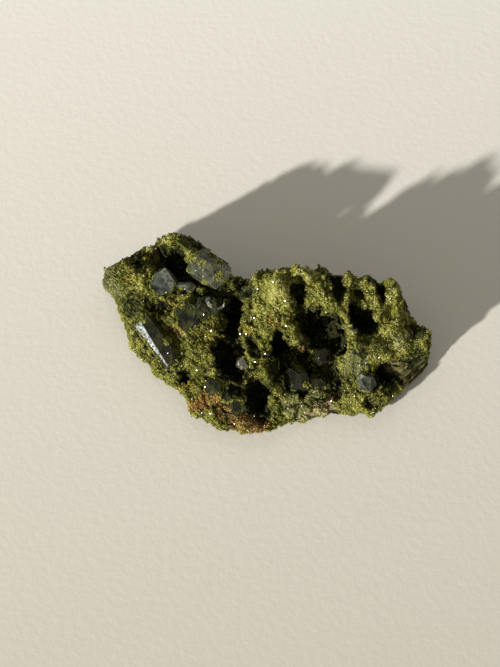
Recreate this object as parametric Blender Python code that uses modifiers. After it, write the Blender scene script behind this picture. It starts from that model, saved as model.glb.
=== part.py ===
"""Epidote crystal cluster: a loose hand specimen about 67 mm long.

One epidote mass, with its crust, knobs, ridges, ledges and pits, carries quartz crystals that
stand in its hollows. It rests on a flat broken face. Sizes are written in millimetres and become
metres through MM. +X runs to the specimen's right, +Y to its back and +Z up.
"""

import math
import random

import bmesh
import bpy
from mathutils import Matrix, Vector
from mathutils.bvhtree import BVHTree

MM = 0.001

# Driving dimensions
SEAT_GAP = 0.3            # open space between a quartz crystal and the rock around it
MASS_GRAIN = 0.75         # step of the remesh that runs the ledges of the mass together
ROCK_GRAIN = 0.5          # step of the remesh that fuses knobs and mass
ROCK_TRIANGLES = 4500     # triangles of the rock before crystals and sockets
TOO_SHORT = 0.002         # edges shorter than this are closed up
OUTSIDE = 80              # a distance that is surely outside the rock
SIDES = 6                 # faces round a quartz crystal's prism
TAPER = 0.94              # width of a crystal's prism at its top as a share of its foot's
TIP_OFF = (0.22, -0.12)   # how far its tip is off its axis, in radii
RIM_WAVE = 0.16           # how much higher and lower its top faces start, in radii
RIM_TURN = 0.4            # where round the crystal that wave begins, in radians

# The mass as five ledges, each a plan outline (x, y) with its lowest and highest level
FOOT = (
    (-30.0, 8.0), (-28.0, 12.0), (-21.0, 15.0), (-15.0, 15.5), (-9.0, 11.0), (-3.0, 8.5),
    (6.0, 10.0), (15.0, 8.5), (24.0, 6.0), (28.5, -1.0), (29.5, -6.0), (24.5, -12.5),
    (20.0, -17.0), (9.0, -18.5), (-2.0, -20.8), (-9.0, -20.6), (-15.8, -13.0),
    (-22.6, -8.2), (-27.0, -2.2), (-28.0, 4.0),
)
SKIRT = (
    (-33.4, 9.3), (-32.9, 12.9), (-29.0, 15.0), (-23.0, 17.0), (-19.3, 19.0), (-15.5, 17.7),
    (-12.0, 15.2), (-9.5, 12.3), (-5.0, 9.2), (0.0, 10.6), (6.0, 12.0), (14.0, 9.8),
    (22.0, 8.6), (26.3, 7.2), (29.0, 2.0), (31.8, -2.0), (33.2, -5.8), (31.8, -8.2),
    (29.2, -9.4), (28.1, -12.6), (25.1, -16.2), (21.4, -18.7), (17.8, -19.4), (14.0, -17.2),
    (8.7, -19.6), (3.7, -20.7), (-0.8, -22.6), (-5.8, -23.6), (-9.6, -22.4), (-13.2, -19.2),
    (-18.3, -13.8), (-21.6, -11.5), (-25.2, -8.0), (-28.7, -3.5), (-29.9, 0.8), (-31.1, 5.0),
)
SHOULDER = (
    (-33.0, 9.0), (-32.2, 12.6), (-28.9, 14.1), (-23.0, 16.0), (-19.3, 17.4), (-15.5, 16.4),
    (-12.0, 14.4), (-9.3, 11.4), (-5.0, 8.3), (0.0, 9.6), (6.0, 10.4), (14.0, 8.8),
    (21.5, 7.6), (25.8, 6.4), (29.0, 1.6), (31.0, -3.2), (29.4, -6.2), (26.4, -9.0),
    (24.0, -12.2), (19.5, -15.2), (14.3, -15.4), (9.0, -16.5), (2.0, -16.8), (-0.8, -18.2),
    (-5.4, -18.9), (-10.2, -18.0), (-14.9, -14.9), (-20.0, -10.4), (-25.0, -6.0), (-28.7, -0.9),
)
PLATEAU = (
    (-31.0, 8.4), (-28.0, 12.0), (-23.0, 14.2), (-19.5, 15.6), (-15.8, 15.0), (-12.5, 12.8),
    (-9.0, 10.0), (-4.5, 7.4), (0.0, 8.6), (6.0, 9.4), (14.0, 7.8), (21.5, 6.6), (25.5, 5.2),
    (28.2, 0.8), (28.6, -4.2), (25.0, -8.2), (20.0, -10.6), (14.0, -10.5), (8.0, -10.5),
    (1.5, -11.8), (-4.0, -13.0), (-9.0, -13.0), (-14.5, -11.0), (-20.0, -7.6), (-24.6, -2.8),
    (-27.4, 2.0),
)
CREST = (
    (-3.2, 4.6), (0.0, 7.6), (6.0, 8.0), (13.5, 6.8), (20.5, 5.8), (24.5, 3.8), (24.6, 0.0),
    (21.0, -4.2), (17.4, -6.0), (13.0, -4.6), (7.0, -4.6), (2.9, -6.2), (-1.6, -5.2),
    (-2.8, -1.0),
)
LEDGES = (
    (FOOT, -1.0, 3.0),
    (SKIRT, 1.4, 5.4),
    (SHOULDER, 4.5, 9.0),
    (PLATEAU, 8.0, 12.4),
    (CREST, 11.5, 16.0),
)

# Knobs and ridges: what it is, centre, half sizes, turn about the upright axis in degrees
KNOBS = (
    ("left knob", (-28.2, 8.0, 8.2), (4.7, 5.6, 5.4), 0),
    ("corner of the left knob", (-30.6, 10.6, 8.0), (2.7, 2.8, 4.4), 0),
    ("left shoulder", (-24.8, 12.5, 8.4), (3.8, 3.0, 4.6), 20),
    ("top lump", (-21.8, 15.0, 9.0), (2.1, 2.2, 4.2), 0),
    ("top crest", (-18.5, 15.0, 10.9), (2.9, 2.2, 4.9), -10),
    ("back of the upper quartz", (-13.9, 13.3, 10.4), (2.6, 2.2, 4.5), -30),
    ("lump in the upper hollow", (-19.5, 12.2, 7.0), (1.8, 1.5, 3.2), 0),
    ("bed of the upper quartz", (-11.6, 7.8, 11.6), (3.6, 2.4, 4.2), -40),
    ("crust on the upper quartz", (-15.6, 9.7, 15.1), (2.5, 2.1, 3.6), 30),
    ("crust beside the left quartz", (-25.0, 6.6, 9.6), (2.8, 3.4, 4.2), 0),
    ("left plateau", (-24.4, 2.4, 8.4), (3.6, 3.6, 4.8), 30),
    ("saddle", (-16.4, 3.0, 8.4), (4.2, 2.2, 4.2), 0),
    ("crust over the middle quartz", (-12.4, 3.8, 9.4), (3.4, 1.8, 4.2), -20),
    ("lower left slope", (-12.4, -7.6, 7.0), (3.0, 4.0, 5.0), 30),
    ("lower left lump", (-12.2, -16.5, 3.4), (3.8, 4.0, 4.6), 30),
    ("bottom lump", (-3.8, -19.6, 2.0), (6.4, 3.1, 4.2), 0),
    ("middle ridge", (0.2, -12.4, 6.4), (1.7, 5.8, 5.6), -6),
    ("rib between the hollows", (-4.4, -13.8, 5.6), (1.9, 2.6, 4.8), 30),
    ("granular slope", (-3.2, -4.2, 8.6), (2.6, 3.2, 5.4), 0),
    ("bright lobe", (2.9, 2.2, 14.0), (3.7, 5.0, 9.0), 0),
    ("foot of the bright lobe", (0.9, -2.4, 10.8), (3.2, 4.2, 6.6), 0),
    ("ledge under the valley", (5.4, -7.6, 8.4), (3.9, 1.5, 6.4), -16),
    ("shoulder of the bright lobe", (-1.5, 4.4, 14.2), (2.5, 2.7, 5.8), 0),
    ("peak", (5.9, 4.3, 18.0), (1.9, 2.2, 5.8), 0),
    ("second lobe", (8.6, 3.0, 14.8), (3.2, 3.4, 7.6), -30),
    ("end of the second lobe", (11.3, -0.3, 13.3), (3.1, 2.5, 6.2), -40),
    ("back of the second lobe", (11.2, 3.9, 14.2), (2.8, 2.5, 6.2), 0),
    ("right ridge top", (16.0, 4.4, 12.9), (2.0, 3.0, 6.8), 0),
    ("right ridge middle", (15.8, -1.2, 11.4), (1.7, 4.2, 6.6), 0),
    ("right ridge foot", (17.2, -8.2, 7.8), (2.6, 4.4, 6.4), 14),
    ("upper right lobe", (19.6, 3.8, 11.8), (3.0, 2.3, 6.4), 0),
    ("rear right ridge", (25.0, 2.9, 11.2), (2.1, 4.0, 6.5), 10),
    ("bridge between the pits", (20.8, 0.4, 10.2), (2.4, 1.2, 5.4), 0),
    ("right slope", (25.2, -3.8, 7.4), (4.4, 5.0, 6.0), 0),
    ("slope by the pit", (22.0, -7.6, 6.8), (3.8, 3.4, 6.4), 0),
    ("end lump", (31.3, -4.2, 7.2), (1.9, 2.5, 4.6), 0),
    ("bottom right lump", (19.2, -15.4, 3.4), (5.6, 4.0, 5.0), -8),
    ("bottom right lobe", (24.3, -12.8, 2.6), (2.8, 3.0, 3.8), 30),
    ("rim of the lower hollow", (7.0, -17.8, 2.4), (6.6, 2.1, 3.6), 0),
    ("right side of the rim", (14.4, -15.8, 3.0), (2.4, 2.6, 4.8), 0),
    ("ledge along the back", (3.6, 9.2, 7.2), (6.4, 2.0, 1.7), 4),
    ("rib up the back", (11.4, 7.6, 9.6), (1.5, 2.0, 5.0), 0),
    ("shelf at the back right", (19.6, 7.2, 6.0), (4.4, 1.8, 1.6), -12),
    ("bulge at the back left", (-25.8, 13.4, 6.4), (2.8, 1.8, 2.6), 30),
    ("shelf behind the top crest", (-15.4, 16.6, 5.0), (3.6, 1.6, 1.8), -34),
    ("bulge in the left wall", (-31.2, 8.6, 4.6), (1.7, 2.6, 2.0), 0),
    ("ledge along the front left", (-17.4, -12.2, 4.4), (4.0, 1.5, 1.4), -40),
    ("ledge along the front", (-0.6, -22.0, 3.4), (4.6, 1.2, 1.2), 8),
    ("bulge at the front right", (20.8, -18.4, 4.0), (2.6, 1.5, 1.8), 20),
)

# Pits and hollows: what it is, centre, half sizes, turn about the upright axis in degrees
PITS = (
    ("upper hollow", (-18.4, 9.2, 13.0), (2.8, 3.6, 7.4), 20),
    ("upper cleft", (-22.0, 12.4, 14.0), (0.7, 2.8, 5.0), -10),
    ("hollow under the upper quartz", (-14.4, 6.4, 13.4), (3.6, 1.1, 3.6), -12),
    ("left recess", (-27.0, 1.6, 13.2), (1.5, 2.4, 3.8), 20),
    ("small left pit", (-21.6, 0.9, 12.8), (2.1, 1.2, 4.8), 0),
    ("trench of the long quartz", (-20.3, -5.6, 11.7), (2.7, 6.6, 3.6), 38),
    ("pit below the long quartz", (-16.0, -12.0, 8.6), (1.4, 1.3, 3.8), 0),
    ("room of the middle quartz", (-14.2, -0.6, 15.0), (4.2, 3.0, 3.6), 10),
    ("centre gap", (-6.6, -1.2, 12.8), (1.9, 4.4, 8.0), -8),
    ("centre hollow", (-7.2, -9.6, 10.8), (3.6, 4.6, 7.6), 10),
    ("second centre hollow", (-1.8, -16.8, 8.6), (2.4, 3.3, 6.6), 15),
    ("gap by the shoulder", (-3.8, 3.4, 16.0), (1.1, 1.6, 5.4), 0),
    ("valley", (10.4, -5.4, 14.2), (4.9, 4.2, 8.0), -30),
    ("head of the valley", (6.2, 0.2, 21.4), (1.0, 4.0, 7.2), -8),
    ("rear notch", (13.8, 3.6, 18.0), (0.8, 3.2, 5.8), 0),
    ("small right pit", (18.2, 1.8, 17.6), (1.0, 1.0, 4.2), 0),
    ("right pit", (18.6, -2.9, 15.0), (2.9, 1.9, 6.4), -30),
    ("rear right groove", (22.6, 2.8, 17.4), (0.8, 2.8, 5.4), 10),
    ("lower right pit", (23.2, -11.4, 9.4), (2.4, 1.7, 5.6), 20),
    ("cleft by the end lump", (28.7, -3.6, 12.0), (0.7, 2.4, 4.4), 20),
    ("lower hollow", (7.6, -11.4, 9.8), (6.0, 5.0, 7.0), 0),
    ("left arm of the lower hollow", (2.6, -7.4, 10.4), (1.6, 3.6, 5.4), 14),
    ("pit in the bottom right lump", (20.6, -17.8, 7.0), (0.9, 1.0, 3.4), 0),
    ("pit in the back", (7.6, 12.6, 8.6), (2.0, 2.6, 2.4), 0),
    ("groove in the back", (0.2, 12.0, 10.6), (1.1, 2.8, 3.8), 10),
    ("pit at the back right", (15.6, 11.2, 6.6), (1.8, 2.6, 2.4), 0),
    ("groove at the back right", (22.4, 9.2, 9.4), (1.2, 2.2, 3.6), -30),
    ("pit in the left wall", (-34.4, 9.8, 7.8), (2.2, 1.8, 1.7), 0),
    ("groove at the back left", (-23.4, 17.4, 7.6), (1.3, 1.8, 3.8), 20),
    ("pit in the front left wall", (-24.6, -8.4, 4.6), (2.2, 1.4, 1.5), 40),
    ("pit in the front wall", (-7.4, -24.2, 3.8), (1.9, 2.0, 1.4), 0),
    ("pit in the front right wall", (11.4, -21.8, 3.2), (2.0, 1.9, 1.3), 0),
)

# Broken faces, where the rock came away: what it is, the middle of the face, the way it looks,
# and how wide it is
BREAKS = (
    ("under the front", (-4.4, -22.1, 1.6), (-0.10, -0.72, -0.69), 16),
    ("under the lower left", (-22.0, -10.3, 2.0), (-0.58, -0.50, -0.64), 18),
    ("under the left end", (-31.5, 6.2, 2.2), (-0.78, -0.10, -0.62), 14),
    ("under the back left", (-20.0, 16.6, 2.6), (-0.05, 0.76, -0.65), 20),
    ("under the back", (6.0, 10.4, 2.8), (0.05, 0.84, -0.54), 26),
    ("under the right end", (30.2, -1.0, 2.4), (0.86, 0.34, -0.38), 12),
    ("under the front right", (18.0, -18.8, 1.4), (0.22, -0.74, -0.63), 18),
    ("back wall", (5.0, 10.6, 8.6), (0.03, 0.97, 0.24), 22),
    ("back wall on the right", (25.2, 7.0, 7.6), (0.52, 0.80, 0.30), 12),
    ("back wall on the left", (-27.4, 14.0, 7.6), (-0.52, 0.82, 0.24), 12),
)

# Thin layers that step down along the right end: plan outline with its lowest and highest level
LAYERS = (
    (((26.0, -8.9), (26.2, -12.6), (27.8, -12.9), (29.0, -11.7), (30.2, -10.7), (31.2, -9.2),
      (32.2, -8.2), (33.2, -7.0), (32.4, -5.4), (29.0, -6.0)), 1.7, 3.4),
    (((25.8, -8.3), (26.4, -11.7), (27.7, -11.5), (29.0, -9.9), (30.4, -9.0), (32.0, -7.6),
      (33.3, -6.3), (32.7, -4.6), (29.0, -5.6)), 3.9, 5.5),
    (((25.5, -8.0), (26.0, -10.8), (27.2, -10.6), (28.8, -9.8), (31.0, -8.6), (32.5, -7.2),
      (33.2, -5.9), (32.0, -4.2), (28.0, -5.4)), 6.0, 7.5),
    (((25.2, -7.5), (25.6, -9.9), (27.0, -10.2), (28.8, -8.9), (30.8, -7.7), (32.3, -6.1),
      (31.4, -4.6), (27.4, -5.2)), 8.0, 9.4),
)
LAYER_HINGE = (29.0, -8.0, 4.8)   # a point of the line that the layers lean about
LAYER_TURN = 44                   # direction of that line in degrees
LAYER_LEAN = 5

# Relief of the crust: texture, size of a bump, height of a bump, level that stays in place
CRUST = (
    ("CLOUDS", 7.0, 1.3, 0.5),
    ("VORONOI", 3.4, -1.4, 0.36),
    ("CLOUDS", 2.0, 0.7, 0.5),
)

# Quartz: node, then crystals with foot, tip, radius, how far the point reaches, and twist
QUARTZ = (
    ("quartz_upper_left", (((-22.8, 3.4, 7.6), (-19.5, 7.6, 14.2), 2.5, 2.0, 10),)),
    ("quartz_upper", (((-13.4, 8.8, 15.0), (-8.2, 4.2, 18.2), 2.8, 1.8, 10),)),
    ("quartz_sliver", (((-18.2, 5.6, 10.6), (-14.4, 4.4, 13.4), 0.9, 0.9, 5),)),
    ("quartz_middle", (
        ((-13.6, -3.6, 7.0), (-17.0, 0.0, 14.6), 2.8, 2.0, 5),
        ((-12.8, -1.6, 7.0), (-11.2, 0.8, 15.0), 2.3, 1.8, 30),
    )),
    ("quartz_long", (((-24.4, -0.9, 8.2), (-16.4, -11.2, 6.2), 2.8, 3.2, 52),)),
    ("quartz_lower_left", (
        ((-10.0, -13.0, 4.0), (-10.8, -15.8, 10.4), 2.0, 1.6, 15),
        ((-10.0, -15.4, 5.2), (-4.4, -19.6, 7.6), 1.6, 1.4, 0),
    )),
    ("quartz_centre", (((-4.4, -8.6, 2.6), (-5.0, -10.0, 9.4), 1.3, 1.2, 20),)),
    ("quartz_smoky", (
        ((3.0, -7.8, 5.2), (8.0, -15.4, 6.8), 2.6, 2.4, 15),
        ((12.6, -9.6, 4.0), (9.2, -16.2, 7.0), 2.5, 2.2, 0),
        ((10.0, -6.6, 3.0), (11.4, -9.8, 11.4), 1.7, 1.8, 20),
    )),
    ("quartz_right", (((19.4, -12.2, 3.5), (19.7, -14.7, 10.4), 2.0, 1.0, 12),)),
)

# Larger epidote crystals fused to the crust, which are four-sided blades
EPIDOTE_COUNT = 120
EPIDOTE_SIDES = 4
EPIDOTE_LENGTH = (2.2, 3.4)
EPIDOTE_RADIUS = (0.55, 0.95)
EPIDOTE_POINT = 0.7       # how far a crystal's point reaches past its prism
EPIDOTE_FLATNESS = 0.6    # thickness of a crystal as a share of its width
EPIDOTE_BURIED = 0.56     # share of a crystal that is inside the rock
EPIDOTE_LEAN = 0.8        # how far a crystal leans from the surface's own direction
EPIDOTE_LOWEST = 2.5      # level below which the crust has none
EPIDOTE_AIMS = ((-28, 28), (-16, 12), (2, 12))   # where the lines to their places run through
EPIDOTE_RISE = (0.1, 3.0)                        # slope of those lines, from low to steep

# The bundle of long blades behind the upper quartz: where its middle blade starts, the way
# that blade runs, and the step from one blade to the next
BUNDLE_FOOT = (-16.4, 14.2, 14.1)
BUNDLE_WAY = (0.78, -0.60, -0.10)
BUNDLE_STEP = (0.36, 0.42, -0.52)
BUNDLE_BLADES = 7
BUNDLE_SPREAD = 3         # degrees from one blade to the next
BUNDLE_LENGTH = 5.2
BUNDLE_RADIUS = 0.62
BUNDLE_TWIST = 12         # degrees that each blade is turned about itself more than the last


def clear_scene():
    """Removes every object, so that the part is alone in the file."""
    for item in list(bpy.data.objects):
        bpy.data.objects.remove(item, do_unlink=True)


def collection(name):
    """A new collection in the scene."""
    group = bpy.data.collections.new(name)
    bpy.context.scene.collection.children.link(group)
    return group


def material(name, colour, roughness):
    """A plain mineral finish."""
    finish = bpy.data.materials.new(name)
    finish.use_nodes = True
    shader = finish.node_tree.nodes["Principled BSDF"]
    shader.inputs["Base Color"].default_value = (*colour, 1.0)
    shader.inputs["Roughness"].default_value = roughness
    shader.inputs["Metallic"].default_value = 0.0
    return finish


def mesh_of(shape):
    """A mesh that holds a bmesh, which is then freed."""
    mesh = bpy.data.meshes.new("shape")
    shape.to_mesh(mesh)
    shape.free()
    return mesh


def joined(meshes):
    """Several closed shapes as one mesh, still overlapping."""
    both = bmesh.new()
    for mesh in meshes:
        both.from_mesh(mesh)
    return mesh_of(both)


def modified(mesh, *steps):
    """The mesh after a chain of modifiers, each given as its type and settings."""
    item = bpy.data.objects.new("working", mesh)
    bpy.context.scene.collection.objects.link(item)
    for kind, settings in steps:
        modifier = item.modifiers.new(kind, kind)
        for setting, value in settings.items():
            setattr(modifier, setting, value)
    graph = bpy.context.evaluated_depsgraph_get()
    result = bpy.data.meshes.new_from_object(item.evaluated_get(graph))
    bpy.data.objects.remove(item)
    return result


def combined(mesh, other, operation):
    """The Boolean of two closed meshes."""
    tool = bpy.data.objects.new("tool", other)
    bpy.context.scene.collection.objects.link(tool)
    result = modified(mesh, ("BOOLEAN", {
        "object": tool, "operation": operation, "solver": "EXACT", "use_self": True,
    }))
    bpy.data.objects.remove(tool)
    return result


def slab(outline, low, high, corners="AUTO"):
    """A plan outline as a closed slab between two levels, its corners rounded or sharp."""
    curve = bpy.data.curves.new("ledge", "CURVE")
    curve.dimensions = "2D"
    curve.fill_mode = "BOTH"
    curve.extrude = (high - low) / 2 * MM
    curve.resolution_u = 3
    spline = curve.splines.new("BEZIER")
    spline.bezier_points.add(len(outline) - 1)
    for point, (x, y) in zip(spline.bezier_points, outline):
        point.co = (x * MM, y * MM, 0)
        point.handle_left_type = corners
        point.handle_right_type = corners
    spline.use_cyclic_u = True
    item = bpy.data.objects.new("ledge", curve)
    bpy.context.scene.collection.objects.link(item)
    graph = bpy.context.evaluated_depsgraph_get()
    shape = bmesh.new()
    shape.from_mesh(item.evaluated_get(graph).to_mesh())
    bmesh.ops.remove_doubles(shape, verts=shape.verts, dist=0.001 * MM)
    bmesh.ops.translate(shape, verts=shape.verts, vec=(0, 0, (low + high) / 2 * MM))
    bmesh.ops.recalc_face_normals(shape, faces=shape.faces)
    bpy.data.objects.remove(item)
    return mesh_of(shape)


def facing(spot, way):
    """The stand whose origin is at a spot and whose Z runs along a direction."""
    return Matrix.Translation(Vector(spot) * MM) @ Vector(way).to_track_quat("Z", "Y").to_matrix().to_4x4()


def broken(mesh):
    """The rock after pieces came away along flat faces."""
    pieces = []
    for _, spot, way, width in BREAKS:
        middle = Vector(spot) + Vector(way).normalized() * width / 2
        block = bmesh.new()
        bmesh.ops.create_cube(block, size=width * MM, matrix=facing(middle, way))
        pieces.append(mesh_of(block))
    return combined(mesh, joined(pieces), "DIFFERENCE")


def layers():
    """Thin sheets of rock, one above another with splits between them."""
    sheets = joined([slab(*layer, corners="VECTOR") for layer in LAYERS])
    hinge = Matrix.Translation(Vector(LAYER_HINGE) * MM)
    line = Vector((math.cos(math.radians(LAYER_TURN)), math.sin(math.radians(LAYER_TURN)), 0))
    sheets.transform(hinge @ Matrix.Rotation(math.radians(LAYER_LEAN), 4, line) @ hinge.inverted())
    return sheets


def place(centre, half_sizes, turn=0):
    """Sizes, turns and moves a shape of unit size."""
    sized = Matrix.Diagonal((*(Vector(half_sizes) * MM), 1))
    return Matrix.Translation(Vector(centre) * MM) @ Matrix.Rotation(math.radians(turn), 4, "Z") @ sized


def lump(centre, half_sizes, turn):
    """A rounded lump."""
    shape = bmesh.new()
    bmesh.ops.create_icosphere(shape, subdivisions=3, radius=1, matrix=place(centre, half_sizes, turn))
    return mesh_of(shape)


def crystal(foot, tip, radius, point, twist, grow=0.0, sides=SIDES, flatness=1.0):
    """A prism from foot to tip with a pointed end whose faces are unequal."""
    foot, tip = Vector(foot), Vector(tip)
    way = tip - foot
    length = way.length + 2 * grow
    wide = radius + grow
    shaft = length - point
    shape = bmesh.new()
    bmesh.ops.create_cone(
        shape, cap_ends=True, segments=sides, radius1=wide, radius2=wide * TAPER, depth=shaft,
    )
    bmesh.ops.translate(shape, verts=shape.verts, vec=(0, 0, shaft / 2))
    rim = [v for v in shape.verts if v.co.z > shaft / 2]
    for corner in rim:
        around = math.atan2(corner.co.y, corner.co.x)
        corner.co.z += RIM_WAVE * wide * math.cos(3 * around + RIM_TURN)
    top = next(f for f in shape.faces if all(v in rim for v in f.verts))
    poked = bmesh.ops.poke(shape, faces=[top])
    poked["verts"][0].co = (TIP_OFF[0] * wide, TIP_OFF[1] * wide, length)
    bmesh.ops.scale(shape, verts=shape.verts, vec=(1, flatness, 1))
    bmesh.ops.rotate(
        shape, verts=shape.verts, cent=(0, 0, 0), matrix=Matrix.Rotation(math.radians(twist), 3, "Z"),
    )
    bmesh.ops.translate(shape, verts=shape.verts, vec=(0, 0, -grow))
    bmesh.ops.transform(shape, verts=shape.verts, matrix=facing(foot, way) @ Matrix.Scale(MM, 4))
    bmesh.ops.recalc_face_normals(shape, faces=shape.faces)
    return mesh_of(shape)


def rock_mass():
    """Ledges run together, with knobs on them and the pits taken out."""
    ledges = joined([slab(*ledge) for ledge in LEDGES])
    mass = modified(
        ledges,
        ("REMESH", {"mode": "VOXEL", "voxel_size": MASS_GRAIN * MM}),
        ("SMOOTH", {"factor": 0.5, "iterations": 12}),
    )
    fused = modified(
        joined([mass] + [lump(*knob[1:]) for knob in KNOBS]),
        ("REMESH", {"mode": "VOXEL", "voxel_size": ROCK_GRAIN * MM}),
        ("SMOOTH", {"factor": 0.5, "iterations": 2}),
    )
    hollows = modified(
        joined([lump(*pit[1:]) for pit in PITS]),
        ("REMESH", {"mode": "VOXEL", "voxel_size": ROCK_GRAIN * MM}),
    )
    return combined(fused, hollows, "DIFFERENCE")


def crusted(mesh):
    """The rock with the rough relief of its crust, brought down to few triangles."""
    steps = [("REMESH", {"mode": "VOXEL", "voxel_size": ROCK_GRAIN * MM})]
    for kind, size, height, level in CRUST:
        relief = bpy.data.textures.new("relief", kind)
        relief.noise_scale = size * MM
        steps.append(("DISPLACE", {
            "texture": relief, "texture_coords": "LOCAL", "strength": height * MM, "mid_level": level,
        }))
    steps.append(("REMESH", {"mode": "VOXEL", "voxel_size": ROCK_GRAIN * MM}))
    steps.append(("TRIANGULATE", {}))
    rough = modified(mesh, *steps)
    return modified(rough, ("DECIMATE", {"ratio": ROCK_TRIANGLES / len(rough.polygons)}))


def on_a_flat_base(mesh):
    """The rock cut flat at the broken face that it rests on."""
    shape = bmesh.new()
    bmesh.ops.create_cube(shape, size=2, matrix=place((0, 0, -OUTSIDE), (OUTSIDE, OUTSIDE, OUTSIDE)))
    return combined(mesh, mesh_of(shape), "DIFFERENCE")


def blade(foot, way, length, radius, twist):
    """A flat four-sided epidote crystal."""
    return crystal(
        foot, foot + way * length, radius, EPIDOTE_POINT, twist,
        sides=EPIDOTE_SIDES, flatness=EPIDOTE_FLATNESS,
    )


def bundle():
    """Long blades side by side, each turned a little from the last."""
    way = Vector(BUNDLE_WAY).normalized()
    blades = []
    for count in range(BUNDLE_BLADES):
        step = count - BUNDLE_BLADES // 2
        turned = Matrix.Rotation(math.radians(step * BUNDLE_SPREAD), 3, "Z") @ way
        foot = Vector(BUNDLE_FOOT) + step * Vector(BUNDLE_STEP)
        blades.append(blade(foot, turned, BUNDLE_LENGTH, BUNDLE_RADIUS, BUNDLE_TWIST * count))
    return blades


def epidote_crystals(mesh):
    """Larger epidote crystals that stand out of the crust."""
    chance = random.Random(11)
    tree = BVHTree.FromPolygons(
        [v.co.copy() for v in mesh.vertices], [tuple(p.vertices) for p in mesh.polygons]
    )
    crystals = []
    while len(crystals) < EPIDOTE_COUNT:
        inside = Vector([chance.uniform(low, high) for low, high in EPIDOTE_AIMS]) * MM
        around = chance.uniform(0, 2 * math.pi)
        up = chance.uniform(*EPIDOTE_RISE)
        way_in = -Vector((math.cos(around), math.sin(around), up))
        spot, normal, _, _ = tree.ray_cast(inside - way_in * OUTSIDE * MM, way_in)
        if spot is None or spot.z < EPIDOTE_LOWEST * MM:
            continue
        lean = Vector([chance.uniform(-1, 1) for _ in range(3)]) * EPIDOTE_LEAN
        way = (normal + lean).normalized()
        length = chance.uniform(*EPIDOTE_LENGTH)
        foot = spot / MM - way * length * EPIDOTE_BURIED
        radius = chance.uniform(*EPIDOTE_RADIUS)
        crystals.append(blade(foot, way, length, radius, chance.uniform(0, 90)))
    return crystals


def main_body(mesh):
    """The largest closed body of a mesh, without the chips that a socket cuts free."""
    shape = bmesh.new()
    shape.from_mesh(mesh)
    left = set(shape.verts)
    bodies = []
    while left:
        start = left.pop()
        body, edge_of_body = {start}, [start]
        while edge_of_body:
            corner = edge_of_body.pop()
            near = {e.other_vert(corner) for e in corner.link_edges} & left
            left -= near
            body |= near
            edge_of_body.extend(near)
        bodies.append(body)
    largest = max(bodies, key=len)
    bmesh.ops.delete(shape, geom=[v for v in shape.verts if v not in largest], context="VERTS")
    bmesh.ops.triangulate(shape, faces=shape.faces)
    bmesh.ops.dissolve_degenerate(shape, edges=shape.edges, dist=TOO_SHORT * MM)
    return mesh_of(shape)


def to_the_origin(meshes):
    """The move that brings the middle of the box round the meshes to X 0 and Y 0."""
    spots = [v.co for mesh in meshes for v in mesh.vertices]
    middle = [(min(s[i] for s in spots) + max(s[i] for s in spots)) / 2 for i in range(2)]
    return Matrix.Translation((-middle[0], -middle[1], 0))


def main():
    clear_scene()
    parts = collection("epidote crystal cluster")
    epidote = material("epidote", (0.20, 0.21, 0.06), 0.45)
    quartz = material("quartz", (0.34, 0.37, 0.36), 0.12)

    rock = broken(crusted(rock_mass()))
    growths = [layers()] + bundle() + epidote_crystals(rock)
    rock = on_a_flat_base(combined(rock, joined(growths), "UNION"))
    meshes = {}
    for node, crystals in QUARTZ:
        solids = [crystal(*one) for one in crystals]
        seats = [crystal(*one, grow=SEAT_GAP) for one in crystals]
        solid, seat = solids[0], seats[0]
        for more, room in zip(solids[1:], seats[1:]):
            solid = combined(solid, more, "UNION")
            seat = combined(seat, room, "UNION")
        rock = combined(rock, seat, "DIFFERENCE")
        meshes[node] = (solid, quartz)
    meshes["epidote_matrix"] = (main_body(rock), epidote)

    shift = to_the_origin([mesh for mesh, _ in meshes.values()])
    for node, (mesh, finish) in meshes.items():
        mesh.transform(shift)
        mesh.materials.clear()
        mesh.materials.append(finish)
        item = bpy.data.objects.new(node, mesh)
        parts.objects.link(item)


main()
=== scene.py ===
"""Epidote crystal cluster with quartz: a loose hand specimen lying on a pale floor.

Sizes are written in millimetres and become metres through MM. +X runs to the specimen's right,
+Y to its back and +Z up, as in the solids that it dresses.
"""

import math

import bmesh
import bpy
import numpy as np
from mathutils import Matrix, Vector, noise
from mathutils.bvhtree import BVHTree


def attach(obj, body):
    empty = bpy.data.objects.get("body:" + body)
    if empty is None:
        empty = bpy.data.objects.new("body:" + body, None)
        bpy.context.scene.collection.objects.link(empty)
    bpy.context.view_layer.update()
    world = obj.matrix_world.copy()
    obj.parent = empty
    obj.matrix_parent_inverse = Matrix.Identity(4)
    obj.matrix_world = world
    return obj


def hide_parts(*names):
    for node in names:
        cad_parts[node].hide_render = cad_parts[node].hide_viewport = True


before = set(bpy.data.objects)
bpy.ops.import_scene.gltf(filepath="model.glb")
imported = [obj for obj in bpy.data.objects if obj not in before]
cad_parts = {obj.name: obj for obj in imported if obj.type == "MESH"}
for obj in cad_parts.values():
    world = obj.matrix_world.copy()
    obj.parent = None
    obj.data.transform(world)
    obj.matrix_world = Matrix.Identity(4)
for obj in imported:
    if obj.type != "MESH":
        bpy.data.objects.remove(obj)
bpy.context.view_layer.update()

# The rock: one mass of grown-together epidote, with lobes, hollows and layered ledges. It is the
# solid's own form gone over with lumps a millimetre or two across, and set back a little so that
# the druse that covers it ends where the real surface does. It is olive, with shade painted into
# its colour, darker towards the hollows.
MM = 0.001
MERGED = 0.001            # corners closer than this are one
ROCK_STEP = 0.32          # step of the remesh
ROCK_EASED = {"factor": 0.5, "iterations": 2}
ROCK_SETBACK = 0.22       # how far the rock lies under its druse
BASE_FLAT = 0.25          # what is lower than this lies on the ground
LUMPS = (                 # size of a lump, height of a lump
    (3.2, 0.9),
    (1.5, 0.52),
    (0.8, 0.24),
)
LUMP_BEND = 0.4           # how uneven the lumps are
LUMP_BEND_STEP = 1.2      # how quickly that changes, in lumps
LUMP_STEEP = 1.8
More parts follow.
